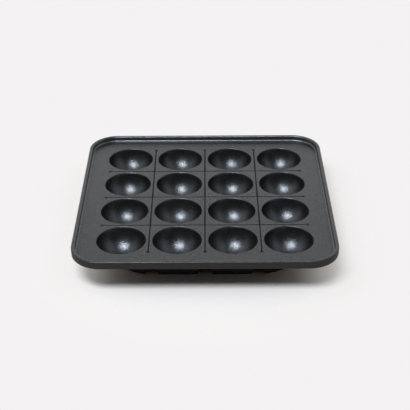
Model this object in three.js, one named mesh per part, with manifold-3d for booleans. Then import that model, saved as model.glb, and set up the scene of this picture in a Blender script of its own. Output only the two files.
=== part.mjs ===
import * as THREE from "three";
import { mergeVertices } from "three/addons/utils/BufferGeometryUtils.js";
import Module from "manifold-3d";

// A square cooking plate with sixteen round cups, die-cast in aluminium and coated black.
// It lifts out of a table-top hot plate and stands on its own underside.
// Millimetres, +Z up. The front edge faces -Y. The origin is on the surface that the plate
// stands on, under its centre.

// Cups
const cupsPerSide = 4;
const mouthRadius = 20;
const cupDepth = 19.2;
const cupWall = 2.4;
const lipRadius = 0.45;
const webWidth = 5;

// Deck and rim
const deckThickness = 3;
const borderWidth = 16.2;
const cornerRadius = 25;
const rimHeight = 4.5;
const rimWidth = 3.1;
const rimEdgeRadius = 1.1;
const rimFootRadius = 1.4;
const rimDraft = 0.2;
const ledgeWidth = 3;
const ledgeDepth = 1.8;

// Grooves between the cups, each ending in a round dimple
const grooveWidth = 1.4;
const grooveDepth = 0.8;
const grooveSetback = 5.4;
const dimpleRadius = 1.9;
const dimpleDepth = 0.9;

// Support skirt under the deck, with a notch under each groove line
const skirtInset = 11.2;
const skirtWall = 2.6;
const skirtDraft = 0.3;
const skirtCornerRadius = 37;
const footClearance = 4.4;
const notchHeight = 5.5;
const middleNotchWidth = 13;
const sideNotchWidth = 11;
const notchLeanShare = 0.12;
const sideNotchShare = 0.95;

// Cuts run past what they cut by this much
const overrun = 2;

// No corner of a lofted square is sharper than this
const leastCorner = 1;

// Faces on the round forms
const cupSegments = 24;
const bowlRings = 6;
const arcSteps = 2;
const cornerSteps = 5;
const dimpleSegments = 8;
const grooveSteps = 2;

const quarterTurn = Math.PI / 2;
const pitch = 2 * mouthRadius + webWidth;
const fieldHalf = (cupsPerSide * pitch) / 2;
const plateHalf = fieldHalf + borderWidth;
const deckTop = cupDepth + cupWall + footClearance;
const deckUnderside = deckTop - deckThickness;
const rimTop = deckTop + rimHeight;

const wasm = await Module();
wasm.setup();

// A closed three.js geometry as a solid that can be joined and cut
function solidFrom(geometry) {
  const bare = geometry.clone();
  bare.deleteAttribute("normal");
  bare.deleteAttribute("uv");
  const merged = mergeVertices(bare);
  return new wasm.Manifold(new wasm.Mesh({
    numProp: 3,
    vertProperties: Float32Array.from(merged.attributes.position.array),
    triVerts: Uint32Array.from(merged.index.array),
  }));
}

function geometryFrom(solid) {
  const { vertProperties, triVerts } = solid.getMesh();
  const geometry = new THREE.BufferGeometry();
  geometry.setAttribute("position", new THREE.BufferAttribute(vertProperties, 3));
  geometry.setIndex(new THREE.BufferAttribute(triVerts, 1));
  geometry.computeVertexNormals();
  return geometry;
}

// Points of an arc in the plane of a profile, both ends included
function arc(centreX, centreY, radius, from, to, steps) {
  const points = [];
  for (let step = 0; step <= steps; step += 1) {
    const angle = THREE.MathUtils.lerp(from, to, step / steps);
    points.push(new THREE.Vector2(centreX + radius * Math.cos(angle), centreY + radius * Math.sin(angle)));
  }
  return points;
}

// A profile turned about a vertical axis
function revolve(profile, segments) {
  return new THREE.LatheGeometry(profile, segments).rotateX(quarterTurn);
}

// A solid lofted through rounded squares. Each level's x is how far its sides are set in from
// the outline, and its y is its height, from the lowest up.
function loftSquares(half, radius, levels) {
  const ringLength = 4 * (cornerSteps + 1);
  const positions = [];
  for (const level of levels) {
    const corner = Math.max(radius - level.x, leastCorner);
    const reach = half - level.x - corner;
    for (let side = 0; side < 4; side += 1) {
      const middle = (side + 0.5) * quarterTurn;
      const centreX = reach * Math.sign(Math.cos(middle));
      const centreY = reach * Math.sign(Math.sin(middle));
      const from = side * quarterTurn;
      for (const point of arc(centreX, centreY, corner, from, from + quarterTurn, cornerSteps)) {
        positions.push(point.x, point.y, level.y);
      }
    }
  }
  const index = [];
  for (let ring = 0; ring + 1 < levels.length; ring += 1) {
    for (let step = 0; step < ringLength; step += 1) {
      const next = (step + 1) % ringLength;
      const low = ring * ringLength;
      const high = low + ringLength;
      index.push(low + step, low + next, high + next);
      index.push(low + step, high + next, high + step);
    }
  }
  const last = (levels.length - 1) * ringLength;
  for (let step = 1; step + 1 < ringLength; step += 1) {
    index.push(0, step + 1, step);
    index.push(last, last + step, last + step + 1);
  }
  const geometry = new THREE.BufferGeometry();
  geometry.setAttribute("position", new THREE.Float32BufferAttribute(positions, 3));
  geometry.setIndex(index);
  return geometry;
}

function block(lowX, highX, lowY, highY, lowZ, highZ) {
  return new THREE.BoxGeometry(highX - lowX, highY - lowY, highZ - lowZ)
    .translate((lowX + highX) / 2, (lowY + highY) / 2, (lowZ + highZ) / 2);
}

// Centres of the cups along one side
function cupPlaces() {
  const places = [];
  for (let count = 0; count < cupsPerSide; count += 1) {
    places.push((count - (cupsPerSide - 1) / 2) * pitch);
  }
  return places;
}

// Lines halfway between neighbouring cups
function groovePlaces() {
  const places = [];
  for (let count = 1; count < cupsPerSide; count += 1) {
    places.push((count - cupsPerSide / 2) * pitch);
  }
  return places;
}

// Deck with its raised rim. The rim's outer face stops at a ledge, by which the plate hangs in
// the hot plate's body.
function deckAndRim() {
  const edge = Math.min(rimEdgeRadius, rimWidth / 2);
  const ledgeZ = deckTop - ledgeDepth;
  const outline = [
    new THREE.Vector2(ledgeWidth + deckThickness - ledgeDepth, deckUnderside),
    new THREE.Vector2(ledgeWidth, ledgeZ),
    new THREE.Vector2(rimDraft, ledgeZ),
    ...arc(edge, rimTop - edge, edge, Math.PI, quarterTurn, arcSteps),
  ];
  const footX = rimWidth + rimFootRadius;
  const innerTop = rimWidth - rimDraft;
  const recess = [
    ...arc(footX, deckTop + rimFootRadius, rimFootRadius, 3 * quarterTurn, Math.PI, arcSteps),
    ...arc(innerTop - edge, rimTop - edge, edge, 0, quarterTurn, arcSteps),
    new THREE.Vector2(innerTop - edge, rimTop + overrun),
  ];
  const body = solidFrom(loftSquares(plateHalf, cornerRadius, outline));
  return body.subtract(solidFrom(loftSquares(plateHalf, cornerRadius, recess)));
}

const bowlRadius = (mouthRadius ** 2 + cupDepth ** 2) / (2 * cupDepth);
const bowlCentreZ = deckTop - cupDepth + bowlRadius;

// Part of a sphere about the bowl's centre, from its lowest point up to a height
function bowlArc(radius, height) {
  const top = Math.asin((height - bowlCentreZ) / radius);
  const points = arc(0, bowlCentreZ, radius, -quarterTurn, top, bowlRings);
  points[0].x = 0;
  return points;
}

function bowlShell() {
  const height = deckTop - deckThickness / 2;
  return revolve([...bowlArc(bowlRadius + cupWall, height), new THREE.Vector2(0, height)], cupSegments);
}

// The hollow of a cup, flared at its mouth to leave a rounded lip
function bowlHollow() {
  const wall = bowlArc(bowlRadius, deckTop - lipRadius);
  const mouth = wall.pop().x + lipRadius;
  const lip = arc(mouth, deckTop - lipRadius, lipRadius, Math.PI, quarterTurn, arcSteps);
  const above = deckTop + overrun;
  const lid = [new THREE.Vector2(mouth, above), new THREE.Vector2(0, above)];
  return revolve([...wall, ...lip, ...lid], cupSegments);
}

function notchCutter(width) {
  const lean = notchLeanShare * width;
  const slope = lean / notchHeight;
  const shape = new THREE.Shape();
  shape.moveTo(-width / 2 - slope * overrun, -overrun);
  shape.lineTo(width / 2 + slope * overrun, -overrun);
  shape.lineTo(width / 2 - lean, notchHeight);
  shape.lineTo(lean - width / 2, notchHeight);
  const depth = skirtWall + 2 * (skirtDraft + overrun);
  return new THREE.ExtrudeGeometry(shape, { depth, bevelEnabled: false })
    .rotateX(quarterTurn)
    .translate(0, depth / 2, 0);
}

// Square skirt that carries the plate, open at its notches
function skirt() {
  const half = fieldHalf - skirtInset;
  const top = deckTop - deckThickness / 2;
  const outer = [new THREE.Vector2(0, 0), new THREE.Vector2(-skirtDraft, top)];
  const inner = [
    new THREE.Vector2(skirtWall, -overrun),
    new THREE.Vector2(skirtWall, 0),
    new THREE.Vector2(skirtWall + skirtDraft, top),
    new THREE.Vector2(skirtWall + skirtDraft, top + overrun),
  ];
  let wall = solidFrom(loftSquares(half, skirtCornerRadius, outer));
  wall = wall.subtract(solidFrom(loftSquares(half, skirtCornerRadius, inner)));
  for (const place of groovePlaces()) {
    const width = place === 0 ? middleNotchWidth : sideNotchWidth;
    for (let side = 0; side < 4; side += 1) {
      const cutter = notchCutter(width).translate(place * sideNotchShare, skirtWall / 2 - half, 0);
      wall = wall.subtract(solidFrom(cutter.rotateZ(side * quarterTurn)));
    }
  }
  return wall;
}

// A round-bottomed groove along Y, centred on the origin
function grooveCutter() {
  const length = 2 * (fieldHalf - grooveSetback);
  const shape = new THREE.Shape();
  shape.moveTo(-grooveWidth / 2, overrun);
  shape.absellipse(0, 0, grooveWidth / 2, grooveDepth, Math.PI, 2 * Math.PI, false);
  shape.lineTo(grooveWidth / 2, overrun);
  return new THREE.ExtrudeGeometry(shape, { depth: length, curveSegments: grooveSteps, bevelEnabled: false })
    .rotateX(quarterTurn)
    .translate(0, length / 2, deckTop);
}

function dimpleCutter() {
  const radius = (dimpleRadius ** 2 + dimpleDepth ** 2) / (2 * dimpleDepth);
  const centreZ = deckTop - dimpleDepth + radius;
  const edge = Math.asin((deckTop - centreZ) / radius);
  const cap = arc(0, centreZ, radius, -quarterTurn, edge, arcSteps);
  cap[0].x = 0;
  const above = deckTop + overrun;
  const lid = [new THREE.Vector2(dimpleRadius, above), new THREE.Vector2(0, above)];
  return revolve([...cap, ...lid], dimpleSegments);
}

// The whole plate in one solid
function casting() {
  let plate = deckAndRim().add(skirt());
  for (const x of cupPlaces()) {
    for (const y of cupPlaces()) {
      plate = plate.add(solidFrom(bowlShell().translate(x, y, 0)));
    }
  }
  for (const x of cupPlaces()) {
    for (const y of cupPlaces()) {
      plate = plate.subtract(solidFrom(bowlHollow().translate(x, y, 0)));
    }
  }
  const grooveEnd = fieldHalf - grooveSetback;
  for (const place of groovePlaces()) {
    for (const turn of [0, quarterTurn]) {
      plate = plate.subtract(solidFrom(grooveCutter().translate(place, 0, 0).rotateZ(turn)));
      for (const end of [-grooveEnd, grooveEnd]) {
        plate = plate.subtract(solidFrom(dimpleCutter().translate(place, end, 0).rotateZ(turn)));
      }
    }
  }
  return plate;
}

const coating = { color: 0x2b2c2e, roughness: 0.42, metalness: 0.1 };
const plateSolid = casting();
const plateGroup = new THREE.Group();

// The casting is divided on its groove lines and round the field of cups, so that every cup,
// side and corner is a region with a name. The regions meet face to face.
function addRegion(name, lowX, highX, lowY, highY) {
  const region = plateSolid.intersect(solidFrom(block(lowX, highX, lowY, highY, -overrun, rimTop + overrun)));
  const mesh = new THREE.Mesh(geometryFrom(region), new THREE.MeshStandardMaterial(coating));
  mesh.name = name;
  plateGroup.add(mesh);
}

const columnNames = "abcdefgh";
cupPlaces().forEach((x, column) => {
  cupPlaces().forEach((y, row) => {
    const name = `cup_${columnNames[column]}${row + 1}`;
    addRegion(name, x - pitch / 2, x + pitch / 2, y - pitch / 2, y + pitch / 2);
  });
});

const outside = plateHalf + overrun;
addRegion("rim_front", -fieldHalf, fieldHalf, -outside, -fieldHalf);
addRegion("rim_back", -fieldHalf, fieldHalf, fieldHalf, outside);
addRegion("rim_left", -outside, -fieldHalf, -fieldHalf, fieldHalf);
addRegion("rim_right", fieldHalf, outside, -fieldHalf, fieldHalf);
addRegion("corner_front_left", -outside, -fieldHalf, -outside, -fieldHalf);
addRegion("corner_front_right", fieldHalf, outside, -outside, -fieldHalf);
addRegion("corner_back_left", -outside, -fieldHalf, fieldHalf, outside);
addRegion("corner_back_right", fieldHalf, outside, fieldHalf, outside);

export default plateGroup;
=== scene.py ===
from math import acos, asin, hypot, pi, radians, sqrt

import bmesh
import bpy
from mathutils import Matrix, Vector


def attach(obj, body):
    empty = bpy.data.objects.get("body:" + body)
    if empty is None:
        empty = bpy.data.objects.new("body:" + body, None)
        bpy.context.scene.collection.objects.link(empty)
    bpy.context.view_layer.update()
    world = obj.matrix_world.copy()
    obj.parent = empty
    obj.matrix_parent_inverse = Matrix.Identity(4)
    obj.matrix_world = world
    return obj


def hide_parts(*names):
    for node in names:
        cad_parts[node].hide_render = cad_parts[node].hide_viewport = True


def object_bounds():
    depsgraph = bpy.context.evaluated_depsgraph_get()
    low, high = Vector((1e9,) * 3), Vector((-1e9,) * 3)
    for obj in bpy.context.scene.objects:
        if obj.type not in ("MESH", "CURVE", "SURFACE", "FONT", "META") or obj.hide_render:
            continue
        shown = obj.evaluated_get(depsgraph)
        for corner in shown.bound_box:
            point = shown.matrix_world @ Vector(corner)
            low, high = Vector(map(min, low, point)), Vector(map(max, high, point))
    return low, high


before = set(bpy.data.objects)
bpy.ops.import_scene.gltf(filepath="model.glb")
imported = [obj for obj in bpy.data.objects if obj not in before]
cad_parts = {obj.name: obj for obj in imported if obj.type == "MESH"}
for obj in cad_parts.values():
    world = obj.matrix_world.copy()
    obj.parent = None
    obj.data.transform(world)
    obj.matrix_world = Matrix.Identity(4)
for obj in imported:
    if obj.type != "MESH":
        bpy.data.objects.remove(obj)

cadLow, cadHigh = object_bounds()
print("frame loaded:", len(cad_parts), "nodes")

rimTop = cadHigh.z                  # the rim is the highest thing
plateHalf = cadHigh.x

# everything that may be changed on the plate, in metres
plate = dict(
    cupCount=4,                     # along each side
    mouthRadius=0.02,
    cupDepth=0.0192,
    cupWall=0.0024,
    lipRadius=0.00045,
    webWidth=0.005,
    deckThickness=0.003,
    cornerRadius=0.025,
    rimHeight=0.0045,
    rimWidth=0.0031,
    rimEdge=0.0011,
    rimFoot=0.0014,
    rimDraft=0.0002,
    ledgeWidth=0.003,
    ledgeDepth=0.0018,
    above=0.002,                    # how far cutters stand over the deck
    sharpFrom=40,                   # degrees
)
pitch = 2 * plate["mouthRadius"] + plate["webWidth"]
fieldHalf = plate["cupCount"] * pitch / 2
deckTop = rimTop - plate["rimHeight"]
deckUnder = deckTop - plate["deckThickness"]
deckMiddle = (deckTop + deckUnder) / 2
tiny = 1e-6


def between(count):                 # places spread evenly about the middle, a pitch apart
    return [(step - (count - 1) / 2) * pitch for step in range(count)]


cupPlaces = between(plate["cupCount"])
groovePlaces = between(plate["cupCount"] - 1)


# camera

camera = dict(
    lens=92.17,
    elevation=31.255,               # degrees below the horizon
    yaw=-0.13,
    roll=-0.31,
    place=(0.00176, -0.77477, 0.46202),   # seen from the middle of the deck
)


def makeCamera():
    data = bpy.data.cameras.new("camera")
    data.lens = camera["lens"]
    data.sensor_width = 36
    thing = bpy.data.objects.new("camera", data)
    bpy.context.scene.collection.objects.link(thing)
    turn = Matrix.Rotation(radians(-camera["yaw"]), 4, "Z")
    tilt = Matrix.Rotation(radians(90 - camera["elevation"]), 4, "X")
    roll = Matrix.Rotation(radians(camera["roll"]), 4, "Z")
    place = Matrix.Translation(Vector(camera["place"]) + Vector((0, 0, deckTop)))
    thing.matrix_world = place @ turn @ tilt @ roll
    bpy.context.scene.camera = thing


makeCamera()
print("camera made")


# shader maths


class Wire:
    # a socket that can be added, taken away, multiplied and divided
    def __init__(self, tree, socket=None):
        self.tree = tree
        self.socket = socket

    def node(self, kind, settings=None, inputs=None, out=0):
        made = self.tree.nodes.new(kind)
        for name, value in (settings or {}).items():
            setattr(made, name, value)
        for name, value in (inputs or {}).items():
            if isinstance(value, Wire):
                self.tree.links.new(value.socket, made.inputs[name])
            else:
                made.inputs[name].default_value = value
        return Wire(self.tree, made.outputs[out] if made.outputs else None)

    def maths(self, operation, *values):
        return self.node("ShaderNodeMath", {"operation": operation}, dict(enumerate(values)))

    def __add__(self, other):
        return self.maths("ADD", self, other)

    def __radd__(self, other):
        return self.maths("ADD", other, self)

    def __sub__(self, other):
        return self.maths("SUBTRACT", self, other)

    def __rsub__(self, other):
        return self.maths("SUBTRACT", other, self)

    def __mul__(self, other):
        return self.maths("MULTIPLY", self, other)

    def __rmul__(self, other):
        return self.maths("MULTIPLY", other, self)

    def __truediv__(self, other):
        return self.maths("DIVIDE", self, other)

    def vectorMaths(self, operation, first, second=None, scale=None):
        values = {0: first}
        if second is not None:
            values[1] = second
        if scale is not None:
            values["Scale"] = scale
        return self.node("ShaderNodeVectorMath", {"operation": operation}, values)

    def dot(self, direction):
        values = {0: self, 1: direction}
        return self.node("ShaderNodeVectorMath", {"operation": "DOT_PRODUCT"}, values, 1)

    def parts(self, vector):
        made = self.node("ShaderNodeSeparateXYZ", None, {"Vector": vector}).socket.node
        return [Wire(self.tree, socket) for socket in made.outputs]

    def clamped(self):
        return self.node("ShaderNodeClamp", None, {"Value": self})

    def ranged(self, low, high, toLow=0.0, toHigh=1.0):
        values = {"Value": self, "From Min": low, "From Max": high, "To Min": toLow, "To Max": toHigh}
        return self.node("ShaderNodeMapRange", {"interpolation_type": "SMOOTHSTEP"}, values)

    def mixed(self, first, second):   # this wire is the factor between two colours
        values = {"Factor": self, 6: first, 7: second}
        return self.node("ShaderNodeMix", {"data_type": "RGBA"}, values, 2)


def newMaterial(name):
    material = bpy.data.materials.new(name)
    material.use_nodes = True
    tree = material.node_tree
    tree.nodes.clear()
    return material, Wire(tree)


def finishMaterial(wire, shader):
    wire.node("ShaderNodeOutputMaterial", None, {"Surface": shader})


def grain(wire, place, size, detail):   # noise with spots of about the given size, in metres
    values = {"Vector": place, "Scale": 1 / size, "Detail": detail}
    return wire.node("ShaderNodeTexNoise", None, values)


def flakes(wire, place, size):      # cells of about the given size, each of its own colour
    return wire.node("ShaderNodeTexVoronoi", None, {"Vector": place, "Scale": 1 / size}, "Color")


def bumps(wire, height):            # height in metres
    return wire.node("ShaderNodeBump", None, {"Strength": 1.0, "Distance": 1.0, "Height": height})


coat = dict(
    shine=(0.121, 0.1325, 0.1435),  # what the bluish flakes in the coat throw back
    haze=(0.0415, 0.043, 0.0445),   # and the duller ground between them
    shineShare=0.6,
    shineRoughness=0.29,
    hazeRoughness=0.52,
    metallic=0.96,
    mottleSize=0.018,               # faint clouds where the spray lies thicker
    mottleRange=(0.35, 0.65),
    mottleLight=0.06,
    mottleRough=0.03,
    flakeSize=0.0003,
    flakeTilt=0.19,
    flakeLight=0.1,
    flakeRough=0.06,
    leastLight=0.92,
    peelSize=0.0024,                # soft orange-peel of the sprayed coat
    peelDepth=0.00001,
    deckPaintedSheen=0.37,                  # painted sheen: the flat deck is drawn brighter than the cups
    cupPaintedShade=0.68,                   # painted shade: haze taken out of the cup hollows
    cupFrom=(0.0003, 0.003),        # depths below the deck over which the painted shade of the cups sets in
    grooveAway=(0.0206, 0.0212),    # from a cup's middle: whatever dips further out is a groove
    grooveFrom=(0.00002, 0.00016),  # depths over which the painted shade in a groove sets in
    # painted shade: how much darker the coat is drawn in the grooves
    groovePaintedShade=0.76,
    grooveRough=0.2,
)


def makeCoat():
    material, wire = newMaterial("nonStickCoat")
    place = wire.node("ShaderNodeTexCoord", None, None, "Object")
    mottle = grain(wire, place, coat["mottleSize"], 4).ranged(*coat["mottleRange"])
    peel = grain(wire, place, coat["peelSize"], 1)
    flake = flakes(wire, place, coat["flakeSize"])
    lean = wire.vectorMaths("SUBTRACT", flake, (0.5, 0.5, 0.5))
    lean = wire.vectorMaths("SCALE", lean, None, coat["flakeTilt"])
    facing = wire.vectorMaths("ADD", bumps(wire, peel * coat["peelDepth"]), lean)
    facing = wire.vectorMaths("NORMALIZE", facing)
    shade = wire.node("ShaderNodeSeparateColor", None, {"Color": flake}, 1)
    x, y, z = wire.parts(place)
    below = deckTop - z
    acrossCell = wire.maths("FRACT", x / pitch) - 0.5
    alongCell = wire.maths("FRACT", y / pitch) - 0.5
    fromCup = wire.maths("SQRT", acrossCell * acrossCell + alongCell * alongCell) * pitch
    # painted shade in the grooves and dimples, deepest towards their bottoms
    grooveShadeMask = fromCup.ranged(*coat["grooveAway"]) * below.ranged(*coat["grooveFrom"])
    # painted shade in the cup hollows; the flat deck outside them gets painted sheen
    cupShadeMask = below.ranged(*coat["cupFrom"]) * (1 - grooveShadeMask)
    # random tone of the coat, to which painted shade and painted sheen are added below
    toneAndPaintedLight = mottle * coat["mottleLight"] + shade * coat["flakeLight"] + coat["leastLight"]
    # painted shade: the grooves drawn darker
    toneAndPaintedLight = toneAndPaintedLight * (1 - grooveShadeMask * coat["groovePaintedShade"])
    # painted sheen: the flat deck drawn brighter than the cups
    toneAndPaintedLight = toneAndPaintedLight * ((1 - cupShadeMask) * coat["deckPaintedSheen"] + 1)
    shine = wire.vectorMaths("SCALE", coat["shine"], None, toneAndPaintedLight)
    # painted shade: the cups' duller layer drawn darker still
    haze = wire.vectorMaths("SCALE", coat["haze"], None, toneAndPaintedLight * (1 - cupShadeMask * coat["cupPaintedShade"]))
    layers = []
    for colour, rough in ((shine, coat["shineRoughness"]), (haze, coat["hazeRoughness"])):
        dull = rough + mottle * coat["mottleRough"] + (shade - 0.5) * coat["flakeRough"]
        dull = dull + grooveShadeMask * coat["grooveRough"]
        layers.append(wire.node("ShaderNodeBsdfPrincipled", None, {
            "Base Color": colour,
            "Metallic": coat["metallic"],
            "Roughness": dull.clamped(),
            "Normal": facing,
        }))
    finishMaterial(wire, wire.node("ShaderNodeMixShader", None, {
        0: 1 - coat["shineShare"],
        1: layers[0],
        2: layers[1],
    }))
    return material


under = dict(
    base=(0.0145, 0.0138, 0.0136, 1),
    lighter=(0.022, 0.0212, 0.0207, 1),
    roughness=0.6,
    gloss=0.22,
    sandSize=0.0005,                # the die's skin under a thin spray of heat-proof black
    sandDepth=0.00004,
    sandRough=0.1,
    cloudSize=0.025,
    cloudRange=(0.3, 0.7),
    cloudRough=0.08,
    overRim=0.35,                   # of the rim's rounding, how much is still this black
)


def makeUnderside():
    material, wire = newMaterial("undersideBlack")
    place = wire.node("ShaderNodeTexCoord", None, None, "Object")
    cloud = grain(wire, place, under["cloudSize"], 3).ranged(*under["cloudRange"])
    sand = grain(wire, place, under["sandSize"], 4)
    colour = (cloud * 0.5 + sand * 0.5).mixed(under["base"], under["lighter"])
    rough = under["roughness"] + cloud * under["cloudRough"] - sand * under["sandRough"]
    finishMaterial(wire, wire.node("ShaderNodeBsdfPrincipled", None, {
        "Base Color": colour,
        "Roughness": rough.clamped(),
        "Specular IOR Level": under["gloss"],
        "Normal": bumps(wire, sand * under["sandDepth"]),
    }))
    return material


coatMaterial = makeCoat()
undersideMaterial = makeUnderside()
print("materials made")


# mesh helpers


def facesOf(geometry):
    return [part for part in geometry if isinstance(part, bmesh.types.BMFace)]


def vertsOf(geometry):
    return [part for part in geometry if isinstance(part, bmesh.types.BMVert)]


def roundedSquare(bm, half, corner, height, steps=16):
    made = bmesh.ops.create_grid(bm, x_segments=1, y_segments=1, size=half)
    bmesh.ops.translate(bm, vec=(0, 0, height), verts=made["verts"])
    bmesh.ops.bevel(bm, geom=made["verts"], offset=corner, offset_type="OFFSET", affect="VERTICES",
                    segments=steps, profile=0.5, material=-1)
    return bm.faces[:][-1]


def raiseFace(bm, face, height, scale):
    top = facesOf(bmesh.ops.extrude_face_region(bm, geom=[face])["geom"])[0]
    bmesh.ops.translate(bm, vec=(0, 0, height), verts=top.verts)
    bmesh.ops.scale(bm, vec=(scale, scale, 1), verts=top.verts)
    return top


def sinkFace(bm, face, inward, depth=0.0):   # depth is along the face's own normal
    made = bmesh.ops.inset_region(bm, faces=[face], thickness=inward, depth=depth,
                                  use_boundary=True, use_even_offset=True)
    return made["faces"]


def bevelEdges(bm, edges, width, steps=5):
    bmesh.ops.bevel(bm, geom=edges, offset=width, offset_type="OFFSET", affect="EDGES",
                    segments=steps, profile=0.5, material=-1)


def swingVert(bm, vert, centre, angle, steps):   # draws an arc in the XZ plane
    made = bmesh.ops.spin(bm, geom=[vert], cent=centre, axis=(0, 1, 0), angle=angle, steps=steps,
                          use_merge=False)
    return vertsOf(made["geom_last"])[0]


def stepVert(bm, vert, place):
    made = bmesh.ops.extrude_vert_indiv(bm, verts=[vert])
    made["verts"][0].co = place
    return made["verts"][0]


def turnRound(bm, steps):
    bmesh.ops.spin(bm, geom=bm.verts[:] + bm.edges[:], cent=(0, 0, 0), axis=(0, 0, 1),
                   angle=2 * pi, steps=steps, use_merge=True)
    bmesh.ops.remove_doubles(bm, verts=bm.verts[:], dist=tiny)
    bmesh.ops.recalc_face_normals(bm, faces=bm.faces[:])


def objectFrom(bm, name):
    mesh = bpy.data.meshes.new(name)
    bm.to_mesh(mesh)
    bm.free()
    thing = bpy.data.objects.new(name, mesh)
    bpy.context.scene.collection.objects.link(thing)
    return thing


def copyTo(bm, places):             # puts what is there at the first place, and copies at the rest
    first = bm.verts[:] + bm.edges[:] + bm.faces[:]
    for place in places[1:]:
        made = bmesh.ops.duplicate(bm, geom=first)
        bmesh.ops.translate(bm, vec=place, verts=vertsOf(made["geom"]))
    bmesh.ops.translate(bm, vec=places[0], verts=vertsOf(first))


def combine(body, tool, operation):
    step = body.modifiers.new(operation.lower(), "BOOLEAN")
    step.operation = operation
    step.solver = "MANIFOLD"
    step.object = tool
    graph = bpy.context.evaluated_depsgraph_get()
    mesh = bpy.data.meshes.new_from_object(body.evaluated_get(graph))
    body.modifiers.clear()
    old, body.data = body.data, mesh
    bpy.data.meshes.remove(old)
    bpy.data.meshes.remove(tool.data)


# the plate's own shapes

smooth = dict(                      # how many steps each curve has
    bowlRound=64,
    bowlSide=14,
    hollowRound=88,
    hollowSide=22,
    lip=5,
    groove=6,
    dimpleRound=28,
)
bowlRadius = (plate["mouthRadius"] ** 2 + plate["cupDepth"] ** 2) / (2 * plate["cupDepth"])
bowlCentre = Vector((0, 0, deckTop - plate["cupDepth"] + bowlRadius))


def makeDeck():
    bm = bmesh.new()
    ledge = deckTop - plate["ledgeDepth"]
    draft = plate["rimDraft"]
    half = plateHalf - draft
    bottom = roundedSquare(bm, half, plate["cornerRadius"] - draft, ledge)
    top = raiseFace(bm, bottom, rimTop - ledge, plateHalf / half)
    land = sinkFace(bm, top, plate["rimWidth"] - draft)
    sinkFace(bm, top, draft, -plate["rimHeight"])
    footEdges = top.edges[:]
    landEdges = [edge for edge in bm.edges if sum(face in land for face in edge.link_faces) == 1]
    bottom = min(bm.faces, key=lambda face: face.calc_center_median().z)
    bmesh.ops.recalc_face_normals(bm, faces=bm.faces[:])
    step = plate["deckThickness"] - plate["ledgeDepth"]
    sinkFace(bm, bottom, plate["ledgeWidth"] - draft)
    sinkFace(bm, bottom, step, step)
    bevelEdges(bm, landEdges, plate["rimEdge"])
    bevelEdges(bm, [edge for edge in footEdges if edge.is_valid], plate["rimFoot"])
    # cut through the middle of every cup, so that no flat face will have a hole in it
    for across in (Vector((1, 0, 0)), Vector((0, 1, 0))):
        for place in cupPlaces + groovePlaces + [-fieldHalf, fieldHalf]:
            bmesh.ops.bisect_plane(bm, geom=bm.verts[:] + bm.edges[:] + bm.faces[:], dist=tiny,
                                   plane_co=across * place, plane_no=across)
    return objectFrom(bm, "castPlate")


def makeBowls():                    # the cups as seen from below
    bm = bmesh.new()
    radius = bowlRadius + plate["cupWall"]
    low = bm.verts.new(bowlCentre - Vector((0, 0, radius)))
    up = pi / 2 + asin((deckMiddle - bowlCentre.z) / radius)
    rim = swingVert(bm, low, bowlCentre, -up, smooth["bowlSide"])
    stepVert(bm, rim, (0, 0, rim.co.z))
    turnRound(bm, smooth["bowlRound"])
    copyTo(bm, [(x, y, 0) for x in cupPlaces for y in cupPlaces])
    return objectFrom(bm, "bowls")


def makeHollows():
    bm = bmesh.new()
    lip = plate["lipRadius"]
    low = bm.verts.new(bowlCentre - Vector((0, 0, bowlRadius)))
    up = pi / 2 + asin((deckTop - lip - bowlCentre.z) / bowlRadius)
    edge = swingVert(bm, low, bowlCentre, -up, smooth["hollowSide"])
    edge = swingVert(bm, edge, edge.co + Vector((lip, 0, 0)), pi / 2, smooth["lip"])
    edge = stepVert(bm, edge, edge.co + Vector((0, 0, plate["above"])))
    stepVert(bm, edge, (0, 0, edge.co.z))
    turnRound(bm, smooth["hollowRound"])
    copyTo(bm, [(x, y, 0) for x in cupPlaces for y in cupPlaces])
    return objectFrom(bm, "hollows")


groove = dict(
    depth=0.0008,
    bottomRadius=0.00045,
    shoulder=0.00035,
    setback=0.0054,                 # from the edge of the field of cups to the last dimple
    dimpleDepth=0.0009,
    dimpleBottom=0.0016,
)


def groovedProfile(bm, depth, bottomRadius):   # from the lowest point out to the deck
    shoulder = groove["shoulder"]
    steps = smooth["groove"]
    reach = bottomRadius + shoulder
    swing = acos((reach - depth) / reach)
    low = bm.verts.new((0, 0, deckTop - depth))
    side = swingVert(bm, low, low.co + Vector((0, 0, bottomRadius)), -swing, steps)
    centre = Vector((sqrt(reach ** 2 - (reach - depth) ** 2), 0, deckTop - shoulder))
    edge = swingVert(bm, side, centre, swing, steps)
    edge = stepVert(bm, edge, edge.co + Vector((0, 0, plate["above"])))
    stepVert(bm, edge, (0, 0, edge.co.z))


def makeGrooves(alongX):
    bm = bmesh.new()
    groovedProfile(bm, groove["depth"], groove["bottomRadius"])
    half = bm.verts[:] + bm.edges[:]
    bmesh.ops.mirror(bm, geom=half, axis="X", merge_dist=tiny)
    bmesh.ops.remove_doubles(bm, verts=bm.verts[:], dist=tiny)
    section = bmesh.ops.contextual_create(bm, geom=bm.edges[:])["faces"]
    length = 2 * (fieldHalf - groove["setback"])
    bmesh.ops.translate(bm, vec=(0, -length / 2, 0), verts=bm.verts)
    far = facesOf(bmesh.ops.extrude_face_region(bm, geom=section)["geom"])[0]
    bmesh.ops.translate(bm, vec=(0, length, 0), verts=far.verts)
    bmesh.ops.recalc_face_normals(bm, faces=bm.faces[:])
    copyTo(bm, [(place, 0, 0) for place in groovePlaces])
    if alongX:
        bmesh.ops.rotate(bm, matrix=Matrix.Rotation(pi / 2, 3, "Z"), verts=bm.verts)
    return objectFrom(bm, "grooves")


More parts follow.
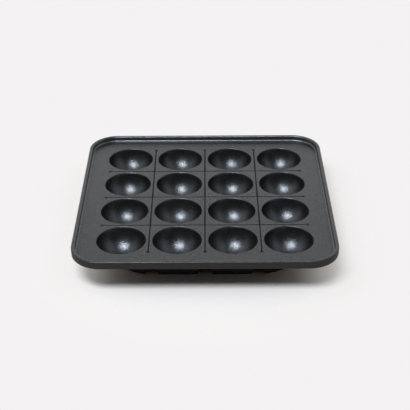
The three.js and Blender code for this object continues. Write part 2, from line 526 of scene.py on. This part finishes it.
def makeDimples():
    bm = bmesh.new()
    groovedProfile(bm, groove["dimpleDepth"], groove["dimpleBottom"])
    turnRound(bm, smooth["dimpleRound"])
    end = fieldHalf - groove["setback"]
    ends = [(place, side, 0) for place in groovePlaces for side in (-end, end)]
    copyTo(bm, ends + [(y, x, 0) for x, y, _ in ends])
    return objectFrom(bm, "dimples")


skirt = dict(
    inset=0.0112,                   # from the edge of the field of cups to its outer face
    wall=0.0026,
    draft=0.0003,
    corner=0.037,
    footRounding=0.0004,
    notchHeight=0.0055,
    middleNotch=0.013,
    sideNotch=0.011,
    leanShare=0.12,
    sideShare=0.95,                 # of the pitch
    notchRounding=0.0012,
)


def makeSkirt():
    bm = bmesh.new()
    half = fieldHalf - skirt["inset"]
    wall = skirt["wall"]
    foot = roundedSquare(bm, half, skirt["corner"], 0)
    top = raiseFace(bm, foot, deckMiddle, 1 + skirt["draft"] / half)
    sinkFace(bm, top, wall + 2 * skirt["draft"])
    low = min(bm.faces, key=lambda face: face.calc_center_median().z)
    sinkFace(bm, low, wall)
    loops = top.edges[:] + low.edges[:]
    bmesh.ops.delete(bm, geom=[top, low], context="FACES_ONLY")
    bmesh.ops.bridge_loops(bm, edges=loops)
    bmesh.ops.recalc_face_normals(bm, faces=bm.faces[:])
    feet = [edge for edge in bm.edges if all(vert.co.z < tiny for vert in edge.verts)
            and any(face.normal.z > -0.5 for face in edge.link_faces)]
    bevelEdges(bm, feet, skirt["footRounding"], 2)
    return objectFrom(bm, "skirt")


def makeNotch(bm, place, side):     # wider at the foot than at the top, with rounded upper corners
    width = skirt["sideNotch"] if place else skirt["middleNotch"]
    height = skirt["notchHeight"]
    lean = skirt["leanShare"] * width
    below = plate["above"]
    made = bmesh.ops.create_cube(bm, size=1)["verts"]
    bmesh.ops.scale(bm, vec=(width - 2 * lean, 4 * skirt["wall"], height + below), verts=made)
    bmesh.ops.translate(bm, vec=(0, 0, (height - below) / 2), verts=made)
    for vert in made:
        if vert.co.z < 0:
            vert.co.x *= (width + 2 * lean * below / height) / (width - 2 * lean)
    tops = []
    for edge in bm.edges:
        first, second = edge.verts
        through = abs(first.co.x - second.co.x) < tiny
        if through and first in made and second in made and min(first.co.z, second.co.z) > 0:
            tops.append(edge)
    away = skirt["wall"] / 2 - fieldHalf + skirt["inset"]
    bmesh.ops.translate(bm, vec=(place * skirt["sideShare"], away, 0), verts=made)
    bmesh.ops.rotate(bm, matrix=Matrix.Rotation(side * pi / 2, 3, "Z"), verts=made)
    bevelEdges(bm, tops, skirt["notchRounding"], 4)


def makeNotches():
    bm = bmesh.new()
    for place in groovePlaces:
        for side in range(4):
            makeNotch(bm, place, side)
    bmesh.ops.recalc_face_normals(bm, faces=bm.faces[:])
    return objectFrom(bm, "notches")


def insideOutline(point):           # how far a point is inside the plate's outer edge
    corner = plate["cornerRadius"]
    x = max(abs(point.x) - plateHalf + corner, 0)
    y = max(abs(point.y) - plateHalf + corner, 0)
    return corner - hypot(x, y)


def inCup(point):
    radius = bowlRadius + plate["cupWall"] / 2
    return any((point - bowlCentre - Vector((x, y, 0))).length < radius
               for x in cupPlaces for y in cupPlaces)


def joinPlate():
    ring = makeSkirt()
    combine(ring, makeNotches(), "DIFFERENCE")
    body = makeDeck()
    combine(body, ring, "UNION")
    combine(body, makeBowls(), "UNION")
    combine(body, makeHollows(), "DIFFERENCE")
    combine(body, makeGrooves(False), "DIFFERENCE")
    combine(body, makeGrooves(True), "DIFFERENCE")
    combine(body, makeDimples(), "DIFFERENCE")
    return body


def makePlate():
    body = joinPlate()
    body.data.materials.clear()
    body.data.materials.append(coatMaterial)
    body.data.materials.append(undersideMaterial)
    bm = bmesh.new()
    bm.from_mesh(body.data)
    bmesh.ops.remove_doubles(bm, verts=bm.verts[:], dist=2 * tiny)
    bmesh.ops.dissolve_degenerate(bm, edges=bm.edges[:], dist=tiny)
    for face in bm.faces:
        middle = face.calc_center_median()
        outer = insideOutline(middle) < under["overRim"] * plate["rimEdge"]
        low = middle.z < deckTop - plate["ledgeDepth"] + 10 * tiny
        face.material_index = 1 if outer or (low and not inCup(middle)) else 0
    bm.to_mesh(body.data)
    bm.free()
    body.data.shade_smooth()
    body.data.set_sharp_from_angle(angle=radians(plate["sharpFrom"]))
    normals = body.modifiers.new("evenNormals", "WEIGHTED_NORMAL")
    normals.keep_sharp = True
    return body


castPlate = makePlate()
print("plate made:", len(castPlate.data.vertices), "vertices")
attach(castPlate, "root")
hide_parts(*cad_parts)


# floor and light

studio = dict(
    floorColour=(0.86, 0.838, 0.825, 1),
    floorSize=6.0,
    floorRoughness=0.95,
    floorGloss=0.02,
    floorCloud=0.4,
    floorDarker=0.985,              # how dark the clouds in the paper are
    backColour=(0.905, 0.888, 0.896, 1),   # the paper away from the plate, evenly lit
    shadowEndColour=(0.88, 0.84, 0.79, 1),      # painted warm light where the ends of the plate's shadow fade into the paper
    backFade=(0.115, 0.18),         # distances from the plate's middle over which it begins
    # painted light: sideways distances over which the ends of the plate's shadow fade into the evenly
    # lit paper
    shadowEndFade=(0.066, 0.16),
    keyPower=30.6,
    keyColour=(0.965, 1.0, 1.045),
    keySize=(1.04, 0.57),           # wide and low
    keyAway=1.9,
    keyFrom=(-0.2, -0.445, 0.873),
    room=(0.026, 0.019, 0.015, 1),
    wallWidth=(0.8, 0.96),          # pale walls to the left and right, low down
    wallHeight=(0.12, 0.4),
    lowPaper=(1.0, 0.92, 0.84, 1),  # the light from low down is a little warm
    highPaper=(0.97, 0.98, 1.0, 1),
    paperTurn=(0.15, 0.6),          # the heights between which it turns cool
    sweep=1.05,                     # the bright paper behind, and the heights at which it ends
    sweepHeight=(0.49, 0.68),
    sweepWidth=(0.45, 0.75),
    horizon=(0.01, 0.05),           # up to here the far paper is seen behind the floor
)
softBoxes = [                       # they fade in between two cosines from their aim
    dict(aim=(-0.82, 0.16, 0.56), fade=(0.76, 0.93), strength=0.79),
    dict(aim=(0.84, 0.16, 0.53), fade=(0.76, 0.93), strength=0.72),
    dict(aim=(-0.03, -0.20, 0.98), fade=(0.90, 0.98), strength=0.86),
]


def raysToPaper(wire):              # straight from the camera, and mirrored or through something
    direct = wire.node("ShaderNodeLightPath", None, None, "Is Camera Ray")
    mirrored = wire.node("ShaderNodeLightPath", None, None, "Is Glossy Ray")
    through = wire.node("ShaderNodeLightPath", None, None, "Is Transmission Ray")
    return direct, wire.maths("MAXIMUM", mirrored, through)


def makeFloor():
    bm = bmesh.new()
    bmesh.ops.create_grid(bm, x_segments=8, y_segments=8, size=studio["floorSize"] / 2)
    floor = objectFrom(bm, "floor")
    material, wire = newMaterial("paleFloor")
    place = wire.node("ShaderNodeTexCoord", None, None, "Object")
    cloud = grain(wire, place, studio["floorCloud"], 2)
    darker = tuple(part * studio["floorDarker"] for part in studio["floorColour"])
    colour = cloud.mixed(studio["floorColour"], darker)
    paper = wire.node("ShaderNodeBsdfPrincipled", None, {
        "Base Color": colour,
        "Roughness": studio["floorRoughness"],
        "Specular IOR Level": studio["floorGloss"],
    })
    seen = wire.maths("MAXIMUM", *raysToPaper(wire))
    away = wire.node("ShaderNodeVectorMath", {"operation": "LENGTH"}, {0: place}, 1)
    away = away.ranged(*studio["backFade"])
    # painted light lifts the left and right ends of the plate's shadow towards the evenly lit paper
    fadedShadowEnds = wire.maths("ABSOLUTE", wire.parts(place)[0]).ranged(*studio["shadowEndFade"])
    evenPaperAndPaintedLight = wire.maths("MAXIMUM", away, fadedShadowEnds)
    # painted warm light at the shadow's ends, turning into the evenly lit paper further out
    evenPaperAndPaintedColour = evenPaperAndPaintedLight.mixed(studio["shadowEndColour"], studio["backColour"])
    evenPaperAndPaintedGlow = wire.node("ShaderNodeEmission", None, {"Color": evenPaperAndPaintedColour})
    finishMaterial(wire, wire.node("ShaderNodeMixShader", None, {0: seen * evenPaperAndPaintedLight, 1: paper, 2: evenPaperAndPaintedGlow}))
    floor.data.materials.append(material)


def makeKey():
    data = bpy.data.lights.new("keyLight", "AREA")
    data.energy = studio["keyPower"]
    data.color = studio["keyColour"]
    data.shape = "ELLIPSE"
    data.size, data.size_y = studio["keySize"]
    lamp = bpy.data.objects.new("keyLight", data)
    bpy.context.scene.collection.objects.link(lamp)
    aim = Vector(studio["keyFrom"]).normalized()
    lamp.location = aim * studio["keyAway"]
    lamp.rotation_euler = aim.to_track_quat("Z", "Y").to_euler()


def makeWorld():
    world = bpy.data.worlds.new("studio")
    bpy.context.scene.world = world
    world.use_nodes = True
    world.node_tree.nodes.clear()
    wire = Wire(world.node_tree)
    direction = wire.node("ShaderNodeTexCoord", None, None, "Generated")
    high = direction.dot((0, 0, 1))
    back = direction.dot((0, 1, 0))
    sideways = wire.maths("ABSOLUTE", direction.dot((1, 0, 0)))
    sweep = back.ranged(*studio["sweepWidth"]) * high.ranged(*studio["sweepHeight"], 1.0, 0.0)
    walls = sideways.ranged(*studio["wallWidth"]) * high.ranged(*studio["wallHeight"], 1.0, 0.0)
    light = sweep * studio["sweep"] + walls
    for box in softBoxes:
        aim = Vector(box["aim"]).normalized()
        light = light + direction.dot(aim).ranged(*box["fade"]) * box["strength"]
    paper = high.ranged(*studio["paperTurn"]).mixed(studio["lowPaper"], studio["highPaper"])
    colour = light.mixed(studio["room"], paper)
    seen, mirrored = raysToPaper(wire)
    horizon = high.ranged(*studio["horizon"], 1.0, 0.0)
    seen = wire.maths("MAXIMUM", seen, mirrored * horizon)
    colour = seen.mixed(colour, studio["backColour"])
    background = wire.node("ShaderNodeBackground", None, {"Color": colour, "Strength": 1.0})
    wire.node("ShaderNodeOutputWorld", None, {"Surface": background})


makeFloor()
makeWorld()
makeKey()
bpy.context.scene.view_settings.view_transform = "Standard"
print("floor and light made")
